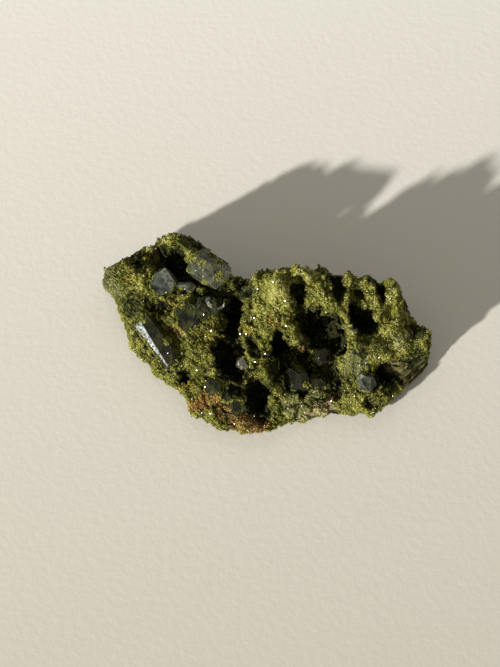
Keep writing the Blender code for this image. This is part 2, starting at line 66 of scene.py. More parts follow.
LUMP_ROUND = 0.6          # less is flatter on top
LUMP_LEVEL = 0.6          # share of a lump's height that is under the solid's own form
SMOOTHED = 0.5            # how much lower the lumps are in the smoother places
HOLLOW_LUMPS = 0.9        # how much higher they are in the hollows
RAGGED = 1.3              # how far the edge of a patch strays
RAGGED_SIZE = 2.2
PATCH_EDGE = 1.25         # share of its radius at which a patch ends
PATCH_FADE = 0.5          # width of its edge, as a share of its radius
SKY_RAYS = 12             # lines that tell how open a spot is
SKY_REACH = 7.0
SKY_START = 0.15          # how far from the rock they start
SKY_SIDE = 1.05           # how far they lean outwards, above 1 so that none goes inwards
OPEN_GAIN = 1.5           # how quickly the painted shade lifts as a spot gets more open
OPEN_LESS = 0.22
# painted shade: the colour that closed hollows are darkened towards
PAINTED_SHADE_COLOUR = (0.012, 0.014, 0.004, 1.0)
VIEW_RISE = 67            # degrees above the ground that the specimen is looked at from


def solid_shape(node):
    """A merged copy of a solid of the part."""
    shape = bmesh.new()
    shape.from_mesh(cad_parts[node].data)
    bmesh.ops.remove_doubles(shape, verts=shape.verts, dist=MERGED * MM)
    return shape


def mesh_from(shape, name):
    """The mesh of a bmesh, which is then freed."""
    mesh = bpy.data.meshes.new(name)
    shape.to_mesh(mesh)
    shape.free()
    return mesh


def placed(name, data):
    """A new object at the origin that holds a mesh, a light or a camera."""
    item = bpy.data.objects.new(name, data)
    bpy.context.scene.collection.objects.link(item)
    return item


def after(mesh, *steps):
    """The mesh after a chain of modifiers, each given as its type and settings."""
    item = placed("working", mesh)
    for kind, settings in steps:
        modifier = item.modifiers.new(kind, kind)
        for setting, value in settings.items():
            setattr(modifier, setting, value)
    graph = bpy.context.evaluated_depsgraph_get()
    result = bpy.data.meshes.new_from_object(item.evaluated_get(graph))
    bpy.data.objects.remove(item)
    return result


def largest_body(mesh):
    """The mesh without the specks that a remesh leaves beside it."""
    shape = bmesh.new()
    shape.from_mesh(mesh)
    bodies, left = [], set(shape.verts)
    while left:
        body = [left.pop()]
        for corner in body:
            near = {edge.other_vert(corner) for edge in corner.link_edges} & left
            left -= near
            body.extend(near)
        bodies.append(body)
    largest = max(bodies, key=len)
    specks = [corner for body in bodies if body is not largest for corner in body]
    bmesh.ops.delete(shape, geom=specks, context="VERTS")
    return mesh_from(shape, mesh.name)


def corners(mesh, what="co"):
    """The places of a mesh's corners in millimetres, or their directions, one row each."""
    values = np.zeros(len(mesh.vertices) * 3, np.float32)
    mesh.vertices.foreach_get(what, values)
    values = values.reshape(-1, 3).astype(float)
    return values / MM if what == "co" else values


def reshaped(mesh, spots):
    """Moves a mesh's corners to new places in millimetres."""
    mesh.vertices.foreach_set("co", (spots * MM).astype(np.float32).ravel())
    mesh.update()


def shown(name, mesh, finish, slot, *nodes):
    """A finished piece of the specimen, which stands for those solids."""
    mesh.name = name
    mesh.materials.clear()
    mesh.materials.append(finish)
    item = placed(name, mesh)
    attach(item, "root")
    if nodes:
        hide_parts(*nodes)


def written(mesh, name, values):
    """Writes a number at each corner of a mesh, for its material to read."""
    layer = mesh.attributes.new(name, "FLOAT", "POINT")
    layer.data.foreach_set("value", np.asarray(values, np.float32))


class Amount:
    """A value that varies over a surface, on which sums are written as in plain Python."""

    def __init__(self, finish, socket):
        self.finish, self.socket = finish, socket

    def sum(self, operation, first, second, limit=False):
        settings = {"operation": operation, "use_clamp": limit}
        return self.finish.node("ShaderNodeMath", settings, {0: first, 1: second})

    def __add__(self, other):
        return self.sum("ADD", self, other)

    def __sub__(self, other):
        return self.sum("SUBTRACT", self, other)

    def __rsub__(self, other):
        return self.sum("SUBTRACT", other, self)

    def __mul__(self, other):
        return self.sum("MULTIPLY", self, other)

    __radd__ = __add__
    __rmul__ = __mul__

    def within(self):
        """The same value held between 0 and 1."""
        return self.sum("ADD", self, 0.0, limit=True)


class Finish:
    """A material under construction: one shader and the nodes that feed it."""

    def __init__(self, name, **sockets):
        self.material = bpy.data.materials.new(name)
        self.material.use_nodes = True
        self.tree = self.material.node_tree
        self.shader = self.tree.nodes["Principled BSDF"]
        self.output = self.tree.nodes["Material Output"]
        self.shaders = [self.shader]
        self.put(self.shader, {key.replace("_", " "): value for key, value in sockets.items()})

    def put(self, target, inputs):
        """Sets or links the sockets of a node."""
        for key, value in inputs.items():
            if isinstance(value, Amount):
                self.tree.links.new(value.socket, target.inputs[key])
            else:
                target.inputs[key].default_value = value

    def node(self, kind, settings=None, inputs=None, output=0):
        """A node of any type, with its settings made first and then its sockets."""
        made = self.tree.nodes.new(kind)
        for setting, value in (settings or {}).items():
            if setting == "stops":
                ramp = made.color_ramp.elements
                while len(ramp) < len(value):
                    ramp.new(1.0)
                for stop, (spot, colour) in zip(ramp, value):
                    stop.position = spot
                    stop.color = (*colour, 1.0)
            else:
                setattr(made, setting, value)
        self.put(made, inputs or {})
        return Amount(self, made.outputs[output])

    def place(self):
        """Where a point is in the piece."""
        return self.node("ShaderNodeTexCoord", output=3)

    def grain(self, size, detail=3.0, rough=0.55):
        """Cloudy noise with patches of that many millimetres."""
        return self.node("ShaderNodeTexNoise", {}, {
            "Vector": self.place(), "Scale": 1 / (size * MM), "Detail": detail, "Roughness": rough,
        })

    def read(self, name):
        """A number that was written at the corners of the mesh."""
        return self.node("ShaderNodeAttribute", {"attribute_name": name}, output=2)

    def mixed(self, share, first, second):
        """Two colours, the second by that share."""
        return self.node(
            "ShaderNodeMix", {"data_type": "RGBA"}, {0: share, 6: first, 7: second}, output=2,
        )

    def ramp(self, share, *stops):
        """A colour along a row of stops."""
        return self.node("ShaderNodeValToRGB", {"stops": stops}, {"Fac": share})

    def join(self, share, inputs):
        """Mixes a second shader with those sockets into the first one."""
        first = Amount(self, self.shader.outputs[0])
        second = self.node("ShaderNodeBsdfPrincipled", {}, inputs)
        self.shaders.append(second.socket.node)
        both = self.node("ShaderNodeMixShader", {}, {0: share, 1: first, 2: second})
        self.put(self.output, {"Surface": both})

    def lit(self, colour, least=0.0):
        """That colour with painted shade, darkened towards the hollows, where that share of it is left.
        """
        share = (self.read("open") * OPEN_GAIN - OPEN_LESS).within()
        return self.mixed(share * (1 - least) + least, PAINTED_SHADE_COLOUR, colour)

    def rough(self, height, depth):
        """Sends a height to the shader as bumps of that many millimetres."""
        bump = self.node("ShaderNodeBump", {}, {"Distance": depth * MM, "Height": height})
        for shader in self.shaders:
            self.put(shader, {"Normal": bump})


def looks(azimuth, rise):
    """A direction from its azimuth and its rise in degrees."""
    around, up = math.radians(azimuth), math.radians(rise)
    return Vector((math.cos(around) * math.cos(up), math.sin(around) * math.cos(up), math.sin(up)))


def lumpy(spots, size):
    """Lumps of that size side by side, from 0 in the creases between them to 1 on their tops."""
    heights = np.empty(len(spots))
    for count, spot in enumerate(spots / size):
        bent = Vector(spot) + LUMP_BEND * noise.noise_vector(spot * LUMP_BEND_STEP)
        near = noise.voronoi(bent)[0]
        heights[count] = near[1] - near[0]
    return np.clip(heights * LUMP_STEEP, 0, 1) ** LUMP_ROUND


def across_view(spots, ragged=1.0):
    """Places as the view of the specimen shows them, right and up, with their lines made ragged."""
    rise = math.radians(VIEW_RISE)
    up = spots[:, 1] * math.sin(rise) + spots[:, 2] * math.cos(rise)
    stray = np.array([noise.noise_vector(spot)[:2] for spot in spots / RAGGED_SIZE])
    return np.stack([spots[:, 0], up], axis=1) + RAGGED * ragged * stray


def patches(across, places):
    """How strongly each place of the view lies in a list of patches: right, up and radius."""
    share = np.zeros(len(across))
    for right, up, radius in places:
        away = np.hypot(across[:, 0] - right, across[:, 1] - up) / radius
        share = np.maximum(share, np.clip((PATCH_EDGE - away) / PATCH_FADE, 0, 1))
    return share


def view_way(turn):
    """A direction square to the line of sight, from its angle in the view."""
    return math.cos(turn) * Vector((1, 0, 0)) + math.sin(turn) * view_up


def from_stroke(across, start, end):
    """How far each place of the view is from a straight stroke."""
    start, end = np.array(start), np.array(end)
    along = np.clip((across - start) @ (end - start) / ((end - start) @ (end - start)), 0, 1)
    return np.linalg.norm(across - start - along[:, None] * (end - start), axis=1)


# Where the view shows a different crust, or light and shade that are painted in: right, up and
# radius of each patch
SMOOTHER = (
    (1.6, 10.9, 3.2), (5.0, 2.0, 2.0), (-31.7, 12.3, 2.6), (30.0, -4.0, 3.0), (17.4, -4.6, 2.6),
    (25.2, 4.6, 4.2), (27.6, 0.2, 3.4), (16.6, 2.8, 2.0), (22.0, -2.4, 2.6), (-32.6, 15.0, 2.2),
    (11.0, 15.0, 1.6), (22.0, 14.0, 1.8),
)
RUSTY = (
    (-18.2, 2.8, 1.1), (-14.0, -12.2, 1.4), (-11.8, -10.9, 2.2), (-8.5, -13.6, 1.8),
    (-5.4, -15.4, 1.8), (-1.7, -16.9, 2.2), (6.8, -2.4, 1.2), (12.6, -11.6, 0.9),
    (31.0, -7.4, 1.2), (22.4, -6.7, 0.8), (0.8, 4.6, 0.5),
)
GREYISH = (
    (-31.9, 15.0, 1.2), (-31.7, 11.9, 1.6), (-30.7, 10.6, 1.6), (17.4, -3.6, 2.8), (17.0, 2.6, 1.0),
    (5.4, -12.3, 2.4), (9.5, -10.9, 1.6), (-6.5, -12.9, 1.6), (26.0, 0.6, 1.6), (8.6, 0.0, 1.2),
)
# Paler crust in part, and in part painted light where lobes and ridges face the lamp
PALE = (
    (1.6, 10.9, 3.0), (-0.6, 7.0, 1.8), (2.4, 5.4, 2.2), (6.4, 13.6, 1.2), (7.6, 8.0, 1.8),
    (14.9, 8.8, 1.6), (15.7, 3.6, 1.6), (-23.6, 18.7, 1.4), (-25.4, 12.0, 1.8), (-21.6, 11.0, 1.2),
    (-20.5, 21.0, 1.0), (24.2, 8.8, 1.2), (20.0, 8.0, 1.4), (-29.0, -1.8, 2.0), (7.0, -0.3, 1.6),
    (-0.2, -10.0, 1.2), (21.0, 4.4, 1.4), (22.6, -2.6, 1.6), (-18.0, 7.0, 1.4), (-27.6, 9.4, 1.2),
    (8.8, 12.2, 1.8), (9.6, 9.2, 1.6), (8.4, 15.4, 1.4), (21.6, 7.6, 1.8), (25.6, 5.2, 2.2),
    (18.4, 9.0, 1.2), (26.4, -1.4, 2.0), (11.4, 8.6, 1.4), (19.6, 11.4, 1.2), (25.4, 10.2, 1.2),
    (18.0, -12.0, 1.4), (12.2, 11.2, 1.2), (23.4, 1.6, 1.6), (27.6, 2.4, 1.4),
)
GOLDEN = (
    (-16.6, 4.4, 1.8), (-9.4, 2.6, 2.6), (-27.0, 13.6, 1.2), (-14.8, 13.6, 1.4), (-5.0, 2.6, 1.6),
    (-19.4, 7.6, 1.6), (-15.8, -8.0, 2.0), (2.0, 3.6, 1.2), (-3.2, -7.4, 1.4), (6.8, -1.6, 1.4),
)
TAN = ((7.2, -14.9, 1.0), (8.8, -14.1, 1.2), (10.6, -13.3, 1.2), (12.4, -12.6, 1.0))
# Darker crust in part, and in part painted shade in hollows and on sides turned from the lamp
DARK = (
    (-10.4, 17.5, 1.3), (-8.8, 16.1, 1.1), (-26.9, 7.7, 2.4), (-19.0, 18.0, 1.4), (-13.9, 9.0, 1.3),
    (-18.6, 23.2, 1.8), (-14.1, 20.4, 2.4), (12.2, 13.0, 1.3), (-29.4, 17.6, 1.3), (-26.4, 18.4, 1.3),
    (28.4, 7.6, 1.4), (29.6, 2.6, 1.3), (21.6, 12.6, 1.6), (30.6, 2.0, 1.4), (-4.2, 10.8, 1.8),
    (-10.0, 9.4, 2.6), (24.4, -7.0, 2.0), (28.4, -4.6, 2.4),
)
HOLLOWS = (
    (-6.4, 5.6, 2.4), (-7.4, -3.4, 3.6), (-2.4, -11.6, 2.6), (9.8, 4.4, 3.2), (10.0, -6.0, 4.8),
    (18.2, 5.4, 2.6), (-18.6, 15.6, 2.8), (-21.3, 6.7, 1.6), (24.0, -6.7, 2.2),
)
# Deep hollows where shade is painted into the colour, as little light comes into them
SHADED = ((13.4, 3.8, 1.5), (14.2, 1.2, 1.5), (13.2, -1.4, 1.2), (24.2, -6.0, 1.3))
DEEP_SHADE = 0.9          # how much darker such a place is painted
CLEFTS = (                # the darkest clefts, as strokes: right, up, right, up, radius, depth
    (-6.2, 8.2, -6.9, 1.5, 1.1, 2.0), (-3.3, 0.3, -2.1, -2.0, 1.2, 1.6),
    (-5.8, -6.1, -6.2, -9.8, 1.7, 1.6), (-8.9, -1.6, -8.3, -6.1, 1.7, 1.0),
    (-2.1, -9.0, -0.8, -14.0, 1.9, 1.8), (2.7, 0.1, 2.3, -2.8, 1.4, 2.0),
    (1.8, -4.9, 4.5, -8.6, 1.9, 1.6), (12.4, -4.1, 14.1, -10.3, 1.2, 1.4),
    (5.8, 10.9, 7.0, 7.1, 1.0, 1.6), (7.9, 5.0, 11.8, 1.0, 2.2, 2.2),
    (13.4, 4.6, 14.3, -0.5, 1.5, 3.6), (16.5, 6.9, 18.2, 4.4, 1.0, 1.4),
    (18.4, 4.2, 21.1, 3.4, 1.1, 1.8), (18.2, 10.0, 18.4, 9.4, 0.7, 1.0),
    (22.8, 10.6, 23.0, 8.4, 0.7, 1.2), (22.8, -5.9, 26.1, -5.5, 1.1, 1.4),
    (26.7, -6.3, 27.3, -7.8, 0.7, 0.8), (13.6, 13.3, 14.1, 9.2, 0.8, 1.4),
    (-21.1, 19.1, -20.7, 15.4, 1.1, 1.6), (-18.6, 14.0, -14.5, 12.7, 1.1, 1.6),
    (-17.4, 17.9, -17.0, 15.8, 0.9, 1.2), (-22.6, 7.1, -19.9, 7.3, 0.8, 1.2),
    (-22.6, 20.2, -22.4, 20.0, 0.6, 1.0), (-26.3, 16.0, -25.7, 15.8, 0.8, 1.0),
    (-23.8, 9.2, -23.8, 8.6, 0.6, 0.8),
)
CLEFT_RAGGED = 0.35       # how far the edge of a cleft strays, as a share of a patch's
CLEFT_WALLS = 4           # more is steeper
CLEFT_FACING = 2          # more makes them deeper where the rock faces sideways
CLEFT_SHADE = 0.62        # painted shade: how much darker a cleft is painted than its form alone makes it
CLEFT_EDGE = 1.1          # share of its radius at which that painted shade ends
CLEFT_FADE = 0.25
SWELLINGS = (             # right, up, radius, height towards the eye
    (-3.4, 14.0, 1.9, 1.19), (-5.8, 13.0, 1.6, 2.1), (-2.4, 15.0, 1.5, 0.98), (-7.0, 12.6, 1.0, 1.68),
)
SWELLINGS_FROM = 7        # height above the ground from which they grow in
SWELLINGS_OVER = 3        # and over how much more
WIDER = (-32.6, 13.4, 2.6)
WIDER_BY = 0.8            # how far the rock is moved out to the left there
TRIMMED = (               # right, up, radius, way of the view in degrees, how far it reaches that way
    (-33.0, 15.2, 1.6, 180, 33.1), (10.8, 16.3, 0.9, 90, 15.7),
)
TRIMMED_FROM = 0.1        # share of a patch from which a spot counts as in it
NOISE_SEED = 4

noise.seed_set(NOISE_SEED)
rock_mesh = largest_body(after(
    mesh_from(solid_shape("epidote_matrix"), "rock"),
    ("REMESH", {"mode": "VOXEL", "voxel_size": ROCK_STEP * MM}),
    ("SMOOTH", ROCK_EASED),
))
rock_spots = corners(rock_mesh)
rock_ways = corners(rock_mesh, "normal")
rock_view = across_view(rock_spots)
calm = 1 - SMOOTHED * patches(rock_view, SMOOTHER) + HOLLOW_LUMPS * patches(rock_view, HOLLOWS)
to_eye = looks(-90, VIEW_RISE)
view_up = Vector((0, math.sin(math.radians(VIEW_RISE)), math.cos(math.radians(VIEW_RISE))))
seen = np.clip(rock_ways @ np.array(to_eye) * CLEFT_FACING, 0, 1)
cleft_view = across_view(rock_spots, CLEFT_RAGGED)
carved, in_cleft = np.zeros(len(rock_spots)), np.zeros(len(rock_spots))
for right, up, right_end, up_end, radius, depth in CLEFTS:
    away = from_stroke(cleft_view, (right, up), (right_end, up_end)) / radius
    carved = np.maximum(carved, depth * np.exp(-away ** CLEFT_WALLS))
    in_cleft = np.maximum(in_cleft, np.clip((CLEFT_EDGE - away) / CLEFT_FADE, 0, 1))
rock_spots -= np.outer(carved * seen, to_eye)
relief = np.zeros(len(rock_spots))
for size, height in LUMPS:
    relief += height * (lumpy(rock_spots, size) - LUMP_LEVEL)
rock_spots += rock_ways * (relief * calm - ROCK_SETBACK)[:, None]
upper = np.clip((rock_spots[:, 2] - SWELLINGS_FROM) / SWELLINGS_OVER, 0, 1)
for *place, height in SWELLINGS:
    rock_spots += np.outer(height * upper * patches(rock_view, [place]), to_eye)
rock_spots[:, 0] -= WIDER_BY * patches(rock_view, [WIDER])
for *place, turn, reach in TRIMMED:
    way = np.array(view_way(math.radians(turn)))
    beyond = np.maximum(rock_spots @ way - reach, 0)
    rock_spots -= np.outer(beyond * (patches(rock_view, [place]) > TRIMMED_FROM), way)
rock_spots[:, 2] = np.where(rock_spots[:, 2] < BASE_FLAT, 0, rock_spots[:, 2])
reshaped(rock_mesh, rock_spots)
rock_ways = corners(rock_mesh, "normal")

everything = bmesh.new()
everything.from_mesh(rock_mesh)
for name in sorted(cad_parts):
    if name.startswith("quartz"):
        everything.from_mesh(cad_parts[name].data)
everything_tree = BVHTree.FromBMesh(everything)
everything.free()


def openness(spots, ways):
    """How much of its surroundings each spot sees, from 0 to 1, given the way it faces."""
    chance = np.random.default_rng(5)
    rays = chance.normal(size=(SKY_RAYS, 3))
    rays /= np.linalg.norm(rays, axis=1)[:, None]
    seen = np.zeros(len(spots))
    for count, (spot, way) in enumerate(zip(spots, ways)):
        start = Vector((spot + way * SKY_START) * MM)
        free = sum(
            everything_tree.ray_cast(start, Vector(ray + way * SKY_SIDE), SKY_REACH * MM)[0] is None
            for ray in rays
        )
        seen[count] = free / SKY_RAYS
    return seen


# how open each spot is sets its painted shade, and the clefts are painted darker still
rock_open = openness(rock_spots, rock_ways) * (1 - CLEFT_SHADE * in_cleft)
# painted shadow: the deep hollows are made darker still
rock_open *= 1 - DEEP_SHADE * patches(rock_view, SHADED)
written(rock_mesh, "open", rock_open)
# the crest adds painted light on the lumps' tops and painted shade in the creases between
written(rock_mesh, "crest", np.clip(0.5 + relief, 0, 1))
for label, places in (("rust", RUSTY), ("grey", GREYISH), ("pale", PALE), ("dark", DARK)):
    written(rock_mesh, label, patches(rock_view, places))

rock = Finish("epidote", Roughness=0.5, IOR=1.6, Specular_IOR_Level=0.12)
# painted light on the lumps' tops, painted shade in the creases
rock_tone = rock.grain(0.7) * 0.9 + rock.read("crest") * 0.5 - 0.35
# the pale patches are partly painted light, the dark patches partly painted shade
rock_tone = rock_tone + rock.read("pale") * 0.25 - rock.read("dark") * 0.3
rock_look = rock.ramp(
    rock_tone.within(),
    (0.0, (0.014, 0.017, 0.003)), (0.4, (0.09, 0.095, 0.012)), (1.0, (0.3, 0.285, 0.03)),
)
rock_look = rock.mixed(rock.read("grey") * 0.7, rock_look, (0.14, 0.15, 0.07, 1.0))
rock_rust = (rock.read("rust") * rock.grain(0.9) * 1.5).within()
rock_look = rock.mixed(rock_rust, rock_look, (0.14, 0.05, 0.015, 1.0))
# painted shade: the rock's colour darkens as a spot sees less of its surroundings
rock.put(rock.shader, {"Base Color": rock.lit(rock_look)})
rock.rough(rock.grain(0.3), 0.12)
shown("rock", rock_mesh, rock.material, "epidote", "epidote_matrix")

# The druse: a coat of epidote crystals about half a millimetre long that covers the rock, grown at
# all angles, in places combed one way, longer and darker. They are copies of one short flat prism
# with a slanted end, each with its own size, lean and tone, in strips from left to right.
GRAINS = 78000
GRAIN_WIDTH = (0.19, 0.38)
GRAIN_LENGTH = (0.26, 0.56)
GRAIN_FLATNESS = (0.55, 1.0)
GRAIN_BURIED = 0.45       # share of a crystal's length that is in the rock
GRAIN_LEAN = (50, 95)     # degrees from the rock's own direction
GRAIN_LOWEST = 0.9        # none grow lower than this above the ground
GRAIN_CLEAR = 0.1         # and none reach lower than this
GRAIN_SLANT = 0.35
GRAIN_TONE = (0.47, 0.18) # on average, and how much it varies
GRAIN_CROWD = 0.6         # how close they stand in closed hollows, and 1 more in the open
CLOSED = 0.01             # none grow where it is less open than this
CREST_PALER = 0.4         # painted light and shade: how much paler they are on the lumps' tops, darker in the creases
# how much paler the crystals are in the pale patches, partly painted light
PALER = 0.26
# how much darker the crystals are in the dark patches, partly painted shade
DARKER = 0.38
GLOSSY_SHARE = 0.13
GLOSSY_OPEN = 0.25        # glossy ones are only where a spot is more open than this
DRUSE_STRIPS = 5
COMBED = (                # right, up, radius, direction that the crystals lie in, in degrees
    (-26.9, 7.7, 2.6, -28), (-19.0, 18.0, 1.5, -50), (11.6, 13.0, 2.4, -52),
    (-14.1, 20.4, 2.4, -36), (-29.2, 17.3, 1.5, 24), (-25.6, 18.4, 1.4, 20),
    (1.6, 11.4, 2.8, -72), (-18.4, 23.4, 1.6, -18), (4.0, 6.0, 1.8, -60),
    (28.0, 6.0, 2.2, -60), (29.0, -3.6, 2.8, 44),
)
COMBED_SHARE = (0.75, 1.0)
COMBED_LONGER = 0.35
COMBED_THINNER = 0.35
COMBED_UP = 0.06          # how little they rise from the rock
BARE = ((31.2, -6.2, 2.8), (-14.3, 20.3, 1.7), (-13.9, 9.0, 1.3))   # where little druse grows
BARE_LESS = 0.97
RUST_SHARE = (-0.1, 1.3)  # how strongly single crystals take the colour of a patch
GREY_SHARE = (-0.2, 1.0)
GOLD_SHARE = (-0.4, 1.0)
TAN_SHARE = (0.0, 1.2)

prism = bmesh.new()
bmesh.ops.create_cone(prism, cap_ends=True, segments=4, radius1=0.5, radius2=0.42, depth=1)
bmesh.ops.translate(prism, verts=prism.verts, vec=(0, 0, 0.5))
prism.verts.index_update()
prism_spots = np.array([v.co[:] for v in prism.verts])
prism_faces = np.array([[v.index for v in f.verts] for f in prism.faces])
prism.free()


def spots_on(mesh, spots, many, weights, chance):
    """Random places on a mesh: the corners of the triangle, the place, the way it faces.

    A remesh leaves its corners in any order, so the triangles are put in order of place first.
    """
    split = after(mesh, ("TRIANGULATE", {"quad_method": "SHORTEST_DIAGONAL"}))
    triangles = np.zeros(len(split.polygons) * 3, np.int32)
    split.polygons.foreach_get("vertices", triangles)
    triangles = triangles.reshape(-1, 3)
    rank = np.lexsort(np.round(spots, 3).T).argsort()
    first = rank[triangles].argmin(axis=1)
    triangles = np.take_along_axis(triangles, (first[:, None] + np.arange(3)) % 3, axis=1)
    triangles = triangles[np.lexsort(rank[triangles].T)]
    a, b, c = (spots[triangles[:, i]] for i in range(3))
    across = np.cross(b - a, c - a)
    areas = np.linalg.norm(across, axis=1)
    share = areas * weights[triangles].mean(axis=1)
    chosen = chance.choice(len(triangles), size=many, p=share / share.sum())
    u, v = chance.random(many), chance.random(many)
    u, v = np.where(u + v > 1, 1 - u, u), np.where(u + v > 1, 1 - v, v)
    where = a[chosen] + (b - a)[chosen] * u[:, None] + (c - a)[chosen] * v[:, None]
    return triangles[chosen], where, across[chosen] / areas[chosen][:, None]


def unit(ways):
    """Directions made one long."""
    return ways / np.linalg.norm(ways, axis=1)[:, None]


def square_to(ways, chance):
    """Two directions square to each given one, turned at random round it."""
    side = unit(np.cross(ways, chance.normal(size=ways.shape)))
    return side, np.cross(ways, side)


def leaning(ways, chance, degrees):
    """Directions that lean away from the given ones by that many degrees, to any side."""
    lean = np.radians(chance.uniform(*degrees, len(ways)))[:, None]
    return ways * np.cos(lean) + square_to(ways, chance)[0] * np.sin(lean)


def prisms(where, ways, chance, widths, lengths, flats, buried):
    """The corners of slanted prisms that stand along the given directions, prism by prism."""
    side, across = square_to(ways, chance)
    slant = chance.normal(scale=GRAIN_SLANT, size=(len(where), 2))
    local = np.repeat(prism_spots[None], len(where), axis=0)
    tilt = (local[:, :, 0] * slant[:, :1] + local[:, :, 1] * slant[:, 1:]) * (local[:, :, 2] > 0.5)
    x = local[:, :, 0] * widths[:, None]
    y = local[:, :, 1] * (widths * flats)[:, None]
    z = (local[:, :, 2] + tilt - buried) * lengths[:, None]
    spots = where[:, None] + x[..., None] * side[:, None] + y[..., None] * across[:, None]
    return spots + z[..., None] * ways[:, None]


def druse_prisms(where, ways, chance, thinner=1.0, longer=1.0, buried=GRAIN_BURIED):
    """Prisms of the druse's own sizes."""
    many = len(where)
    widths = chance.uniform(*GRAIN_WIDTH, many) * thinner
    lengths = chance.uniform(*GRAIN_LENGTH, many) * longer
    return prisms(where, ways, chance, widths, lengths, chance.uniform(*GRAIN_FLATNESS, many), buried)


def crystals_shown(name, copies, marks):
    """A piece of many prisms in one mesh, with the numbers for each that its material reads."""
    many, each = copies.shape[:2]
    faces = (prism_faces[None] + (np.arange(many) * each)[:, None, None]).astype(np.int32)
    mesh = bpy.data.meshes.new(name)
    mesh.vertices.add(many * each)
    mesh.vertices.foreach_set("co", (copies * MM).astype(np.float32).ravel())
    mesh.loops.add(faces.size)
    mesh.loops.foreach_set("vertex_index", faces.ravel())
    mesh.polygons.add(faces.size // 4)
    mesh.polygons.foreach_set("loop_start", np.arange(0, faces.size, 4, dtype=np.int32))
    mesh.update(calc_edges=True)
    for label, values in marks.items():
        written(mesh, label, np.repeat(values, each))
    shown(name, mesh, druse.material, "epidote")


def marked(view, places, chance, shares):
    """How strongly each crystal takes the colour of those patches."""
    return (patches(view, places) * chance.uniform(*shares, len(view))).clip(0, 1)


chance = np.random.default_rng(21)
crowd = (rock_spots[:, 2] > GRAIN_LOWEST) * (rock_open > CLOSED) * (GRAIN_CROWD + rock_open)
crowd *= 1 - BARE_LESS * patches(rock_view, BARE)
hosts, grain_at, grain_up = spots_on(rock_mesh, rock_spots, GRAINS, crowd, chance)
grain_open = rock_open[hosts].mean(axis=1)
grain_way = leaning(grain_up, chance, GRAIN_LEAN)
grain_view = across_view(grain_at)
combed = np.zeros(GRAINS)
for *place, turn in COMBED:
    share = patches(grain_view, [place]) * chance.uniform(*COMBED_SHARE, GRAINS)
    line = np.array(view_way(math.radians(turn)))
    flat = unit(line - grain_up * (grain_up @ line)[:, None] + COMBED_UP * grain_up)
    grain_way = unit(grain_way * (1 - share)[:, None] + flat * share[:, None])
    combed = np.maximum(combed, share)
grain_spots = druse_prisms(
    grain_at, grain_way, chance, 1 - COMBED_THINNER * combed, 1 + COMBED_LONGER * combed,
)
above_ground = grain_spots[:, :, 2].min(axis=1) > GRAIN_CLEAR
# paler on the lumps' tops as painted light, darker in the creases as painted shade
grain_tone = chance.normal(*GRAIN_TONE, GRAINS) + CREST_PALER * relief[hosts].mean(axis=1)
# pale patches partly painted light, dark patches partly painted shade
grain_tone += PALER * patches(grain_view, PALE) - DARKER * patches(grain_view, DARK)
grain_marks = {
    "tone": grain_tone.clip(0, 1),
    "rust": marked(grain_view, RUSTY, chance, RUST_SHARE),
    "grey": marked(grain_view, GREYISH, chance, GREY_SHARE),
    "gold": marked(grain_view, GOLDEN, chance, GOLD_SHARE),
    "open": grain_open,
    "gloss": (chance.random(GRAINS) < GLOSSY_SHARE) * (grain_open > GLOSSY_OPEN),
    "tan": marked(grain_view, TAN, chance, TAN_SHARE),
}

druse = Finish("druse", IOR=1.6, Specular_IOR_Level=0.14, Roughness=0.5)
druse_tone = druse.read("tone")
druse_look = druse.ramp(
    druse_tone,
    (0.0, (0.02, 0.024, 0.004)), (0.28, (0.09, 0.098, 0.014)), (0.55, (0.22, 0.213, 0.027)),
    (0.8, (0.36, 0.345, 0.07)), (1.0, (0.52, 0.51, 0.23)),
)
for mark, low, high in (
    ("grey", (0.06, 0.068, 0.028), (0.34, 0.35, 0.19)), ("gold", (0.05, 0.03, 0.004), (0.52, 0.34, 0.03)),
    ("rust", (0.035, 0.014, 0.006), (0.5, 0.2, 0.06)), ("tan", (0.14, 0.1, 0.05), (0.8, 0.66, 0.42)),
):
    other = druse.ramp(druse_tone, (0.0, low), (1.0, high))
    druse_look = druse.mixed(druse.read(mark), druse_look, other)
# painted shade: the druse darkens towards the hollows, keeping at least 0.14 of its colour
druse_look = druse.lit(druse_look, 0.14)
druse.put(druse.shader, {"Base Color": druse_look})
druse.join(
    druse.read("gloss"),
    {"Base Color": druse_look, "IOR": 1.75, "Specular IOR Level": 0.6, "Roughness": 0.17},
)

order = np.argsort(grain_at[:, 0])
for strip, members in enumerate(np.array_split(order, DRUSE_STRIPS)):
    members = members[above_ground[members]]
    marks = {label: values[members] for label, values in grain_marks.items()}
    crystals_shown(f"druse_{strip + 1}", grain_spots[members], marks)

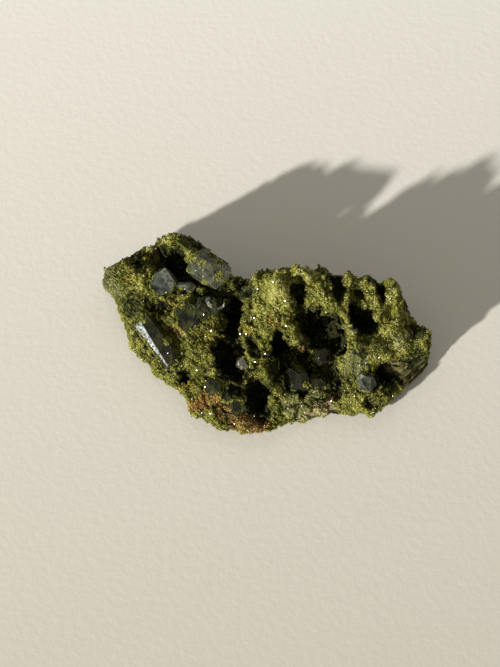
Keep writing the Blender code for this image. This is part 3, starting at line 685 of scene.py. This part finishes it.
# The quartz: grey to smoky glassy crystals that stand in the rock's hollows. Each is the solid's
# own form with broken faces, some of them pale, and worn edges, and is clear quartz with milky
# veils and fine cracks. On the long and the centre crystal the pale face looks towards the lamp's
# mirror direction, and its pale colour is a painted highlight over the real reflection.
QUARTZ_GROWN = 0.2        # how much wider a crystal is than its solid, to close its seat
QUARTZ_EDGE = 0.07        # width of a worn edge
WORN_SHARE = 0.3          # how much paler a worn edge is, where a pale face is 1
QUARTZ_SHARP = 14         # degrees between faces from which an edge is worn
QUARTZ_FLAT = 0.02        # radians between triangles up to which they are one face
VEIL_SIZE = 1.5
MOTTLE_SIZE = 0.5         # of the pale faces
CRACK_SIZE = 2.1          # between cracks
CRACK_FINE = 26           # more is finer
BROKEN = {                # broken faces: azimuth and rise of the way that each looks, its depth, tone
    "quartz_upper_left": ((-80, 62, 1.7), (15, 40, 0.9), (200, 58, 0.5), (-20, 62, 0.5, "pale")),
    "quartz_upper": (
        (-62, 60, 1.0), (-150, 52, 0.9), (-40, 28, 0.8, "pale"), (80, 60, 0.7), (-105, 76, 0.5),
    ),
    "quartz_sliver": ((200, 70, 0.3), (-60, 50, 0.5)),
    "quartz_middle": (
        (-95, 68, 1.5), (-20, 52, 1.2), (200, 40, 1.2), (-140, 62, 0.9), (60, 66, 0.9),
        (-60, 40, 0.8), (-12, 35, 0.75, "pale"),
    ),
    # its pale face looks towards the lamp's mirror direction; its paleness is a painted highlight
    "quartz_long": ((-30, 60, 0.7), (226, 48, 0.46, "pale")),
    "quartz_lower_left": ((-60, 70, 0.9), (190, 50, 0.6), (120, 60, 0.5)),
    # its pale face looks nearly towards the lamp's mirror direction; its paleness is a painted highlight
    "quartz_centre": ((222, 58, 0.5, "pale"), (0, 60, 0.5), (-60, 75, 0.4)),
    "quartz_smoky": (
        (-70, 60, 1.3), (225, 66, 0.7), (160, 50, 1.0), (-20, 64, 0.8), (-100, 35, 0.7, "pale"),
    ),
    "quartz_right": (
        (-84, 68, 1.4), (20, 30, 0.6), (150, 60, 0.55, "pale"), (-30, 50, 0.6), (-130, 35, 0.8),
        (70, 50, 0.7),
    ),
}
FULLER = {"quartz_upper": 0.2, "quartz_middle": 0.35, "quartz_upper_left": 0.15, "quartz_long": 0.1}


def quartz_mesh(node):
    """A crystal with its broken faces and its worn edges, which are marked."""
    shape = solid_shape(node)
    bmesh.ops.dissolve_limit(shape, angle_limit=QUARTZ_FLAT, verts=shape.verts, edges=shape.edges)
    shape.normal_update()
    moves = [corner.normal * corner.calc_shell_factor() for corner in shape.verts]
    for corner, move in zip(shape.verts, moves):
        corner.co += move * (QUARTZ_GROWN + FULLER.get(node, 0)) * MM
    worn = shape.faces.layers.float.new("edge")
    for azimuth, rise, depth, *pale in BROKEN[node]:
        way = looks(azimuth, rise)
        farthest = max(corner.co.dot(way) for corner in shape.verts)
        cut = bmesh.ops.bisect_plane(
            shape, geom=shape.verts[:] + shape.edges[:] + shape.faces[:], clear_outer=True,
            plane_co=way * (farthest - depth * MM), plane_no=way,
        )
        rim = [item for item in cut["geom_cut"] if isinstance(item, bmesh.types.BMEdge)]
        for face in bmesh.ops.holes_fill(shape, edges=rim)["faces"]:
            face[worn] = len(pale)
    bmesh.ops.recalc_face_normals(shape, faces=shape.faces)
    sharp = [edge for edge in shape.edges if edge.calc_face_angle(0) > math.radians(QUARTZ_SHARP)]
    bevelled = bmesh.ops.bevel(
        shape, geom=sharp, offset=QUARTZ_EDGE * MM, segments=1, profile=0.5, affect="EDGES",
        clamp_overlap=True, material=-1,
    )
    for face in bevelled["faces"]:
        face[worn] = WORN_SHARE
    bmesh.ops.triangulate(shape, faces=shape.faces)
    return mesh_from(shape, node)


def quartz_finish(name, clear, milky, pale, veil, roughness):
    """Glassy quartz of that colour with milky veils and pale worn faces, a painted highlight where turned
    to the lamp.
    """
    made = Finish(
        name, Base_Color=(*clear, 1.0), Roughness=roughness, IOR=1.54, Transmission_Weight=1.0,
        Specular_IOR_Level=0.35,
    )
    colour = made.mixed(made.grain(0.7), (*milky, 1.0), (*(m * 0.35 for m in milky), 1.0))
    edge = made.read("edge")
    mottled = (made.grain(MOTTLE_SIZE) * 6 - 2.4).within() * edge
    colour = made.mixed(mottled * 0.9, colour, (*pale, 1.0))
    cracks = made.node("ShaderNodeTexVoronoi", {"feature": "DISTANCE_TO_EDGE"}, {
        "Vector": made.place(), "Scale": 1 / (CRACK_SIZE * MM),
    })
    lines = (1 - cracks * CRACK_FINE).within() * made.grain(1.2) * 0.5
    share = made.grain(VEIL_SIZE, 4.0) * 2.2 + (veil - 1.3) + lines + edge * 0.7
    made.join(share.within(), {
        "Base Color": colour, "Roughness": 0.22, "IOR": 1.54, "Specular IOR Level": 0.3,
    })
    made.rough(made.grain(0.6), 0.07)
    return made.material


QUARTZES = {              # clear, milky and pale colour, how veiled, roughness
    "blue grey": ((0.74, 0.79, 0.72), (0.15, 0.17, 0.14), (0.43, 0.455, 0.38), 0.58, 0.12),
    "green grey": ((0.74, 0.8, 0.64), (0.17, 0.185, 0.12), (0.44, 0.47, 0.4), 0.55, 0.1),
    "pale": ((0.8, 0.8, 0.66), (0.27, 0.265, 0.18), (0.55, 0.55, 0.46), 0.7, 0.12),
    # its bluish-white pale colour is the painted highlight on the face turned to the lamp
    "long": ((0.58, 0.56, 0.14), (0.075, 0.072, 0.012), (0.42, 0.48, 0.5), 0.34, 0.2),
    "dark": ((0.58, 0.66, 0.22), (0.075, 0.09, 0.018), (0.38, 0.41, 0.29), 0.4, 0.08),
    "smoky": ((0.42, 0.45, 0.15), (0.034, 0.039, 0.011), (0.24, 0.255, 0.17), 0.36, 0.08),
}
quartzes = {kind: quartz_finish(kind + " quartz", *given) for kind, given in QUARTZES.items()}
quartz_meshes = {}
for node, kind in (
    ("quartz_upper_left", "blue grey"), ("quartz_upper", "green grey"), ("quartz_sliver", "green grey"),
    ("quartz_middle", "dark"), ("quartz_long", "long"), ("quartz_lower_left", "dark"),
    ("quartz_centre", "pale"), ("quartz_smoky", "smoky"), ("quartz_right", "green grey"),
):
    quartz_meshes[node] = quartz_mesh(node)
    shown(node + "_crystal", quartz_meshes[node], quartzes[kind], "quartz", node)

# The bright rim: where a bowl-shaped chip has come off the dark quartz, its edge stands up as a
# thin curved lip of paler quartz. It is a tapered strip that follows the crystal's surface.
RIM_MIDDLE = (-10.1, 8.3)
RIM_RADIUS = 1.55         # on average, and how far it strays as a share
RIM_STRAYS = 0.3
RIM_ARC = (140, 372)      # where it starts and ends, in degrees
RIM_WIDTH = (1.1, 0.3)    # at its start, at its end
RIM_VARIES = 0.35
RIM_LIFT = 0.2            # how far it stands up
RIM_ROOT = 0.8            # how far it reaches down into the crystal
RIM_ARCH = 0.2            # how far its middle stands up, as a share of half its width
RIM_STEPS = 26

rock_tree = BVHTree.FromPolygons(
    [Vector(spot) * MM for spot in rock_spots], [tuple(face.vertices) for face in rock_mesh.polygons]
)
dark_shape = bmesh.new()
dark_shape.from_mesh(quartz_meshes["quartz_middle"])
dark_tree = BVHTree.FromBMesh(dark_shape)
dark_shape.free()


def first_seen(right, up, *trees):
    """The place that the view shows there, or nothing."""
    start = Vector((right, 0, 0)) * MM + view_up * up * MM + to_eye * 0.1
    hits = [tree.ray_cast(start, -to_eye)[0] for tree in trees]
    return max((hit for hit in hits if hit), key=to_eye.dot, default=None)


def part_way(ends, share):
    """A value that share of the way between two."""
    return ends[0] + (ends[1] - ends[0]) * share


rim = bmesh.new()
bmesh.ops.create_circle(rim, cap_ends=True, segments=4, radius=MM)
rim.faces.ensure_lookup_table()
end = rim.faces[0]
for count in range(RIM_STEPS + 1):
    along = count / RIM_STEPS
    turn = math.radians(part_way(RIM_ARC, along))
    half = 0.5 * part_way(RIM_WIDTH, along ** 0.7) * min(1, 0.25 + 6 * along, 0.15 + 5 * (1 - along))
    half *= 1 + RIM_VARIES * noise.noise(Vector((along * 7, 0, 0)))
    radius = RIM_RADIUS * (1 + RIM_STRAYS * noise.noise(Vector((along * 4, 3, 0))))
    across, up = radius * math.cos(turn), radius * math.sin(turn)
    spot = first_seen(RIM_MIDDLE[0] + across, RIM_MIDDLE[1] + up, dark_tree, rock_tree)
    spot += to_eye * RIM_LIFT * MM
    outward = view_way(turn) * half * MM
    if count:
        grown = bmesh.ops.extrude_face_region(rim, geom=[end])["geom"]
        if count > 1:                # the first end stays, to close the strip
            bmesh.ops.delete(rim, geom=[end], context="FACES_ONLY")
        end = next(item for item in grown if isinstance(item, bmesh.types.BMFace))
    steps = (-outward, to_eye * half * RIM_ARCH * MM, outward, -to_eye * RIM_ROOT * MM)
    for corner, step in zip(end.verts, steps):
        corner.co = spot + step
bmesh.ops.recalc_face_normals(rim, faces=rim.faces)
edge = rim.faces.layers.float.new("edge")
for face in rim.faces:
    face[edge] = 1.0
bmesh.ops.triangulate(rim, faces=rim.faces)
shown("bright_rim", mesh_from(rim, "bright_rim"), quartzes["blue grey"], "quartz")

# The overgrowth: epidote crystals that have grown over the feet of the quartz crystals and over
# parts of their faces. They are made like the druse, and have its colour.
OVERGROWTH_PER_AREA = 15  # crystals on each square millimetre
OVERGROWTH_LOWEST = 1.2
OVERGROWTH_RAGGED = 0.3   # how far the edge of a patch strays, as a share of the rock's
OVERGROWTH_OPEN = 0.8     # how open they all count as, for the painted shade
COVER_TONE = (0.5, 0.15)  # on average, and how much it varies
# how much darker the overgrowth is in the dark patches, partly painted shade
COVER_DARKER = 0.35
COVER_STEP = 0.2          # step at which a crystal's faces are tried for cover
FOOT_COVER = 0.45         # how near the rock a crystal's face is grown over
GROWN_OVER = (            # right, up, radius
    (-15.2, 17.6, 1.5), (-16.4, 14.2, 1.0), (-23.6, 14.0, 1.1), (-24.0, 11.6, 0.7),
    (-20.0, 9.6, 0.7), (-24.9, 5.0, 1.1), (-15.4, -2.4, 1.0), (-8.0, -13.6, 0.9),
    (8.0, -8.2, 0.7), (-12.4, 11.6, 0.9), (-9.4, 13.4, 0.8), (-10.6, 17.7, 0.9),
    (-8.8, 16.3, 0.9), (-11.9, 18.9, 0.7), (-17.2, 8.0, 0.9), (-8.4, 12.0, 0.7),
    (-12.8, 15.8, 0.7), (-17.4, -6.4, 0.9), (-19.6, 0.4, 0.8), (19.0, -9.8, 0.8),
    (22.6, -9.4, 0.8), (22.6, -7.0, 0.5),
)
GROWN_FROM = 0.4          # share of a patch from which a spot counts as in it

chance = np.random.default_rng(3)
overgrowth = []
for node in quartz_meshes:
    mesh = after(quartz_meshes[node], ("REMESH", {"mode": "VOXEL", "voxel_size": COVER_STEP * MM}))
    spots = corners(mesh)
    near = np.array([rock_tree.find_nearest(Vector(spot) * MM)[3] for spot in spots]) / MM
    grown_over = patches(across_view(spots, OVERGROWTH_RAGGED), GROWN_OVER) > GROWN_FROM
    cover = np.maximum(near < FOOT_COVER, grown_over) * (spots[:, 2] > OVERGROWTH_LOWEST)
    if cover.sum() == 0:
        continue
    mesh.calc_loop_triangles()
    area = sum(triangle.area for triangle in mesh.loop_triangles) / MM ** 2
    many = int(OVERGROWTH_PER_AREA * cover.mean() * area)
    _, where, up = spots_on(mesh, spots, many, cover, chance)
    overgrowth.append(druse_prisms(where, leaning(up, chance, GRAIN_LEAN), chance))
overgrowth = np.concatenate(overgrowth)
many = len(overgrowth)
overgrown_view = across_view(overgrowth[:, 0])
# dark patches: partly darker crust, partly painted shade
cover_tone = chance.normal(*COVER_TONE, many) - COVER_DARKER * patches(overgrown_view, DARK)
crystals_shown("overgrowth", overgrowth, {
    "tone": cover_tone.clip(0, 1),
    "open": np.full(many, OVERGROWTH_OPEN),
    "gloss": chance.random(many) < GLOSSY_SHARE,
    "rust": marked(overgrown_view, RUSTY, chance, RUST_SHARE),
})

# The layers: thin sheets of epidote, one above another, that show their edges at the right end.
# Each is a flat plate with a ragged edge, a little farther back than the one below it, and the
# druse's crystals have grown as a crust on the topmost one.
SHEETS = 10
SHEET_LOWEST = 1.2
SHEET_STEP = 0.74
SHEET_THICKNESS = 0.5     # on average, with that share more or less
SHEET_VARIES = 0.55
SHEET_MIDDLE = (27.8, -5.0)
SHEET_HALF = (4.4, 4.2)
SHEET_SQUARE = 0.55       # 1 is an oval, and less is squarer
SHEET_TURN = 44           # direction of the end's edge in degrees
SHEET_BACK = 0.26         # how much farther back each sheet lies than the one below
SHEET_UNEVEN = 0.26       # how far a sheet strays from that
SHEET_RAGGED = 0.36
SHEET_WAVES = 0.3         # how far it isn't level
SHEET_CRYSTALS = 3000     # crystals of the druse on the topmost sheet
SHEET_COVERED = 0.8       # how far out towards its rim they reach
SHEET_LEAN = (30, 85)     # degrees that they lean
SHEET_LONGER = 1.3
SHEET_BURIED = 0.2

sheets = bmesh.new()
for count in range(SHEETS):
    ring = bmesh.ops.create_circle(sheets, cap_ends=True, segments=120, radius=1)["verts"]
    turn = Matrix.Rotation(math.radians(SHEET_TURN), 4, "Z")
    stray = SHEET_UNEVEN * math.sin(count * 2.4)
    thickness = SHEET_THICKNESS * (1 + SHEET_VARIES * math.sin(count * 5.1))
    back = turn @ Vector((stray, SHEET_BACK * count + stray, 0))
    for corner in ring:
        ragged = noise.noise(corner.co * 3 + Vector((0, 0, count * 3.1)))
        ragged += 0.5 * noise.noise(corner.co * 11 + Vector((0, 0, count * 5.3)))
        wide = Vector(SHEET_HALF) + Vector((1, 1)) * ragged * SHEET_RAGGED
        square = [math.copysign(abs(along) ** SHEET_SQUARE, along) for along in corner.co.xy]
        flat = turn @ Vector((square[0] * wide.x, square[1] * wide.y, 0)) + back
        level = SHEET_LOWEST + SHEET_STEP * count + 0.2 * math.sin(count * 3.7)
        level += SHEET_WAVES * noise.noise(flat * 0.4)
        corner.co = (flat + Vector((*SHEET_MIDDLE, level))) * MM
    top = np.array([(corner.co + Vector((0, 0, thickness * MM)))[:] for corner in ring]) / MM
    face = ring[0].link_faces[0]
    lifted = bmesh.ops.extrude_face_region(sheets, geom=[face])["geom"]
    raised = [item for item in lifted if isinstance(item, bmesh.types.BMVert)]
    bmesh.ops.translate(sheets, verts=raised, vec=(0, 0, thickness * MM))
bmesh.ops.recalc_face_normals(sheets, faces=sheets.faces)
layered = Finish("layered epidote", Roughness=0.55, IOR=1.6, Specular_IOR_Level=0.2)
layering = layered.node("ShaderNodeMapping", {}, {"Vector": layered.place(), "Scale": (1, 1, 5)})
bands = layered.node("ShaderNodeTexNoise", {}, {"Vector": layering, "Scale": 700, "Detail": 5})
sheet_colour = layered.ramp(
    bands, (0.36, (0.02, 0.02, 0.007)), (0.5, (0.11, 0.1, 0.035)), (0.64, (0.27, 0.235, 0.1)),
)
layered.put(layered.shader, {"Base Color": sheet_colour})
layered.rough(bands, 0.2)
shown("layers", mesh_from(sheets, "layers"), layered.material, "epidote")

outward = (chance.random(SHEET_CRYSTALS) ** 0.5 * SHEET_COVERED)[:, None]
middle = top.mean(axis=0)
where = middle + (top[chance.integers(len(top), size=SHEET_CRYSTALS)] - middle) * outward
up = leaning(np.tile([0.0, 0.0, 1.0], (SHEET_CRYSTALS, 1)), chance, SHEET_LEAN)
cover = druse_prisms(where, up, chance, 1.0, SHEET_LONGER, SHEET_BURIED)
crystals_shown("crust_on_the_layers", cover, {
    "tone": chance.normal(*COVER_TONE, SHEET_CRYSTALS).clip(0, 1),
    "open": np.full(SHEET_CRYSTALS, OVERGROWTH_OPEN),
    "gloss": chance.random(SHEET_CRYSTALS) < GLOSSY_SHARE,
})

# The long blades: a bundle of dark green epidote blades side by side behind the upper quartz.
# They are the same prisms as the druse, longer and nearly parallel.
BLADES = 16
BLADE_FOOT = (-16.6, 16.6, 14.1)
BLADE_WAY = (0.78, -0.60, -0.10)
BLADE_STEP = (0.15, 0.2, -0.24)
BLADE_LENGTH = (4.0, 5.6)
BLADE_WIDTH = (0.5, 0.85)
BLADE_FLATNESS = (0.5, 0.9)
BLADE_STRAYS = 0.12       # how far each lies from its place
BLADE_LEANS = 0.05
BLADE_BURIED = 0.1
BLADE_TONE = (0.1, 0.4)

step = np.arange(BLADES) - BLADES / 2
blade_at = np.array(BLADE_FOOT) + step[:, None] * np.array(BLADE_STEP)
blade_at = blade_at + chance.normal(0, BLADE_STRAYS, (BLADES, 3))
blade_way = unit(np.array(BLADE_WAY) + chance.normal(0, BLADE_LEANS, (BLADES, 3)))
blades = prisms(
    blade_at, blade_way, chance, chance.uniform(*BLADE_WIDTH, BLADES),
    chance.uniform(*BLADE_LENGTH, BLADES), chance.uniform(*BLADE_FLATNESS, BLADES), BLADE_BURIED,
)
crystals_shown("blades", blades, {
    "tone": chance.uniform(*BLADE_TONE, BLADES), "open": np.ones(BLADES), "gloss": np.zeros(BLADES),
})

# The glints: small clear crystals in the druse, flat six-sided prisms that each have a face that
# sends the lamp's light to the eye. The larger ones stand where the specimen sparkles most, and
# smaller ones are scattered over the open druse, each turned a little at random.
LAMP_FROM = (220.6, 22)   # azimuth and rise of the lamp
GLINT_SIZE = 0.45
GLINT_RADII = (0.7, 0.5)  # at its foot and at its top, as shares of its width
GLINT_HEIGHT = 0.7
GLINT_LIFT = (0.25, 0.3)  # how far it stands out, and how much more per millimetre of width
SPARKS = 240
SPARK_WIDTH = (0.12, 0.26)
SPARK_RADII = (0.5, 0.35)
SPARK_HEIGHT = 0.7
SPARK_STRAY = 0.07
SPARK_OPEN = 0.4          # they stand where the druse is more open than this
SPARK_FACING = 0.35       # and faces the eye by more than this
GLINTS = (                # right, up, width
    (-16.0, 16.2, 0.5), (-16.8, 15.0, 0.3), (-14.1, 14.4, 0.35), (-12.6, 14.4, 0.3),
    (-12.6, 13.2, 0.35), (-26.6, 13.9, 0.35), (-27.3, 13.7, 0.25), (-20.1, 10.2, 0.35),
    (-16.4, 10.8, 0.6), (-12.5, 5.7, 0.4), (-11.0, 2.5, 0.5), (-8.0, 5.5, 0.4),
    (-2.5, 5.0, 0.55), (3.7, 3.4, 0.4), (6.4, 0.9, 0.35), (-10.0, -1.7, 0.45),
    (-0.4, -2.0, 0.3), (0.4, -2.3, 0.3), (-2.8, -2.8, 0.25), (11.7, 6.2, 0.35),
    (6.0, 7.0, 0.25), (-5.3, 1.9, 0.3), (-4.0, 1.9, 0.3), (9.7, 1.5, 0.25), (2.5, 4.5, 0.3),
    (-19.7, -2.0, 0.4), (-13.9, -5.3, 0.45), (-12.2, -8.6, 0.4), (-12.9, -13.8, 0.35),
    (-4.0, -16.9, 0.35), (-2.5, -14.4, 0.35), (-15.8, -13.6, 0.3), (6.0, -15.0, 0.4),
    (24.2, 8.7, 0.45), (28.3, -0.2, 0.4), (17.4, -5.3, 0.4), (24.4, 1.7, 0.3),
    (22.1, 6.6, 0.3), (15.2, 3.0, 0.3), (15.4, -0.5, 0.3),
)

between = (to_eye + looks(*LAMP_FROM)).normalized()
glints = bmesh.new()


def glint(spot, way, turn, width, radii, height, lift):
    """A flat six-sided prism that looks a given way, that far towards the eye from its place."""
    facing = way.to_track_quat("Z", "Y").to_matrix().to_4x4() @ Matrix.Rotation(turn, 4, "Z")
    bmesh.ops.create_cone(
        glints, cap_ends=True, segments=6, radius1=radii[0] * width * MM,
        radius2=radii[1] * width * MM, depth=height * width * MM,
        matrix=Matrix.Translation(spot + to_eye * lift * MM) @ facing,
    )


for right, up, width in GLINTS:
    spot = first_seen(right, up, everything_tree)
    if spot:
        lift = GLINT_LIFT[0] + GLINT_LIFT[1] * width
        glint(spot, between, right, width * GLINT_SIZE, GLINT_RADII, GLINT_HEIGHT, lift)
sunny = (grain_open > SPARK_OPEN) & (grain_up @ np.array(to_eye) > SPARK_FACING)
for spot in grain_at[chance.choice(np.flatnonzero(sunny), SPARKS, replace=False)]:
    way = between + Vector(chance.normal(0, SPARK_STRAY, 3))
    width = chance.uniform(*SPARK_WIDTH)
    glint(Vector(spot) * MM, way, 0, width, SPARK_RADII, SPARK_HEIGHT, GLINT_LIFT[0])
clear = Finish("clear crystal", Base_Color=(0.9, 0.9, 0.82, 1.0), IOR=1.54, Transmission_Weight=0.9)
clear.put(clear.shader, {"Roughness": clear.grain(0.5) * 0.1 + 0.06})
shown("glints", mesh_from(glints, "glints"), clear.material, "quartz")

# The ground and the light: a pale floor that the specimen lies on, painted darker towards the
# front and paler towards the back as painted light, a small lamp low on the left that throws its
# long shadow, and a faint fill from behind, under an even pale sky.
GROUND = 1.2
LIGHTS = (                # name, azimuth and rise, how far off, width, power, colour
    ("key", LAMP_FROM, 2.0, 0.07, 67, (1.0, 0.98, 0.93)),
    ("fill", (100, 62), 1.0, 0.5, 0.4, (1.0, 0.98, 0.94)),
)
SKY_COLOUR = (1.0, 0.96, 0.88, 1.0)
SKY_STRENGTH = 0.31

ground = bmesh.new()
bmesh.ops.create_grid(ground, x_segments=1, y_segments=1, size=GROUND / 2)
ground_mesh = mesh_from(ground, "ground")
pale = Finish("pale sheet", Roughness=0.9, Specular_IOR_Level=0.2)
# painted light: the floor's colour runs from darker at the front to paler at the back
depth = pale.node("ShaderNodeSeparateXYZ", {}, {0: pale.place()}, output=1)
pale.put(pale.shader, {"Base Color": pale.mixed(
    (depth * 6 + 0.45).within(), (0.6, 0.575, 0.5, 1.0), (0.86, 0.84, 0.77, 1.0),
)})
pale.rough(pale.grain(1.4, 2.0), 0.05)
ground_mesh.materials.append(pale.material)
placed("ground", ground_mesh)

for name, way, distance, width, power, colour in LIGHTS:
    light = bpy.data.lights.new(name, "AREA")
    light.shape = "SQUARE"
    light.size = width
    light.energy = power
    light.color = colour
    item = placed(name, light)
    item.location = looks(*way) * distance
    item.rotation_euler = looks(*way).to_track_quat("Z", "Y").to_euler()
world = bpy.data.worlds.new("studio")
world.use_nodes = True
world.node_tree.nodes["Background"].inputs["Color"].default_value = SKY_COLOUR
world.node_tree.nodes["Background"].inputs["Strength"].default_value = SKY_STRENGTH
bpy.context.scene.world = world
bpy.context.scene.view_settings.view_transform = "Standard"

# The camera: it looks down on the specimen from the front, at the photograph's angle, and takes
# in the whole specimen and most of its shadow.
CAMERA_AWAY = 0.3         # metres
CAMERA_SEES = 138.07      # height of the picture at the specimen
CAMERA_AIM = (-3.33, 2.12, 0.0)
CAMERA_SENSOR = 36

camera = bpy.data.cameras.new("camera")
camera.sensor_width = CAMERA_SENSOR
camera.lens = CAMERA_SENSOR * CAMERA_AWAY / (CAMERA_SEES * MM)
camera_item = placed("camera", camera)
camera_item.location = Vector(CAMERA_AIM) * MM + to_eye * CAMERA_AWAY
camera_item.rotation_euler = to_eye.to_track_quat("Z", "Y").to_euler()
bpy.context.scene.camera = camera_item
